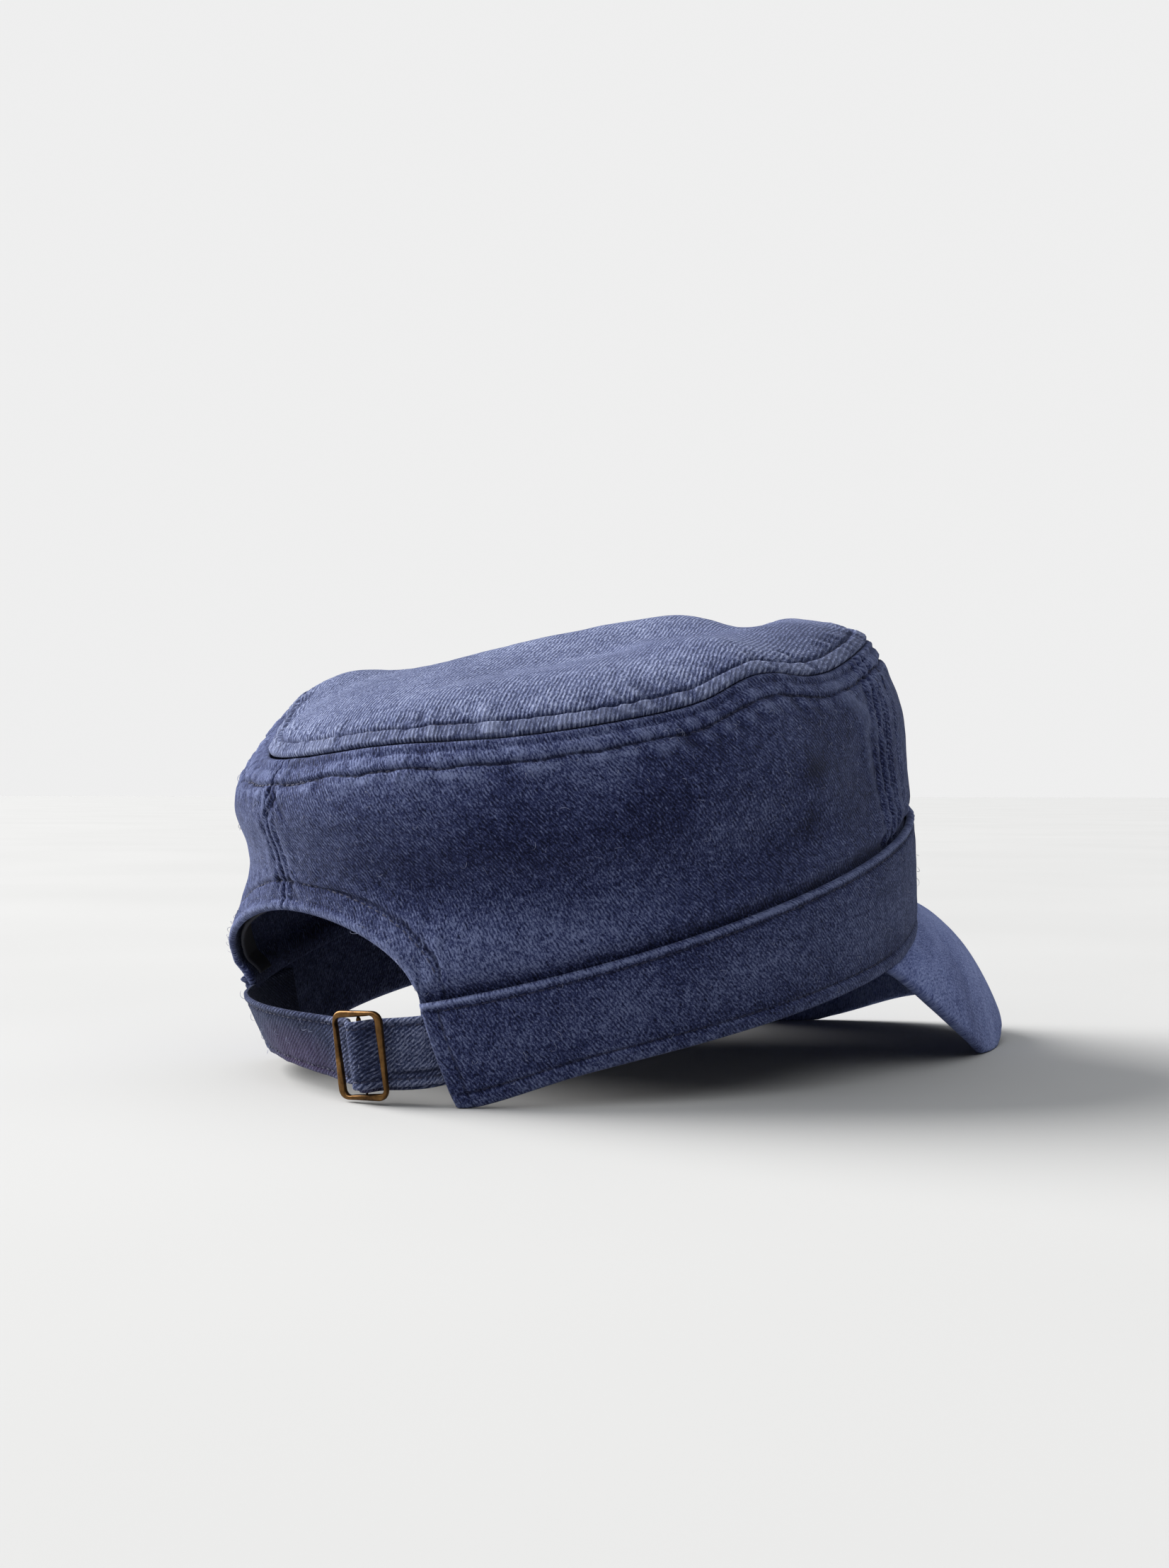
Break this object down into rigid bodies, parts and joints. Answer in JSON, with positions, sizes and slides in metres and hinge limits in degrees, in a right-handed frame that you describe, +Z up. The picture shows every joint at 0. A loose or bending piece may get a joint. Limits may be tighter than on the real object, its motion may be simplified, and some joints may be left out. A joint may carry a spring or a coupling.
{
  "type": "cadet cap",
  "caption": "Soft washed-cotton cadet cap with a flat oval top, upright crown, stitched band, drooping peak and a strapped, buckled back opening.",
  "frame": {"origin": "centre of the footprint on the surface the cap rests on", "axes": "+Z up, +Y towards the peak, +X towards the wearer's right, with the cap at rest on its peak and band"},
  "size_m": [0.1674, 0.2494, 0.1279],
  "materials": {
    "crown_cloth": "washed indigo cotton twill, matt and mottled",
    "top_cloth": "washed indigo cotton twill, a little more faded on top",
    "band_cloth": "washed indigo cotton twill, folded and topstitched",
    "facing_tape": "dark woven cotton tape",
    "peak_cloth": "washed indigo cotton over a thin board, smooth",
    "strap_cloth": "washed indigo cotton twill, edge-stitched",
    "buckle_brass": "antiqued brass, satin with bright worn edges"
  },
  "bodies": {
    "root": {"crown_front": "crown_cloth", "crown_side_right": "crown_cloth", "crown_side_left": "crown_cloth", "crown_top": "top_cloth", "band": "band_cloth", "opening_facing": "facing_tape", "peak": "peak_cloth", "strap": "strap_cloth", "strap_tab": "strap_cloth", "buckle": "buckle_brass"}
  },
  "joints": []
}
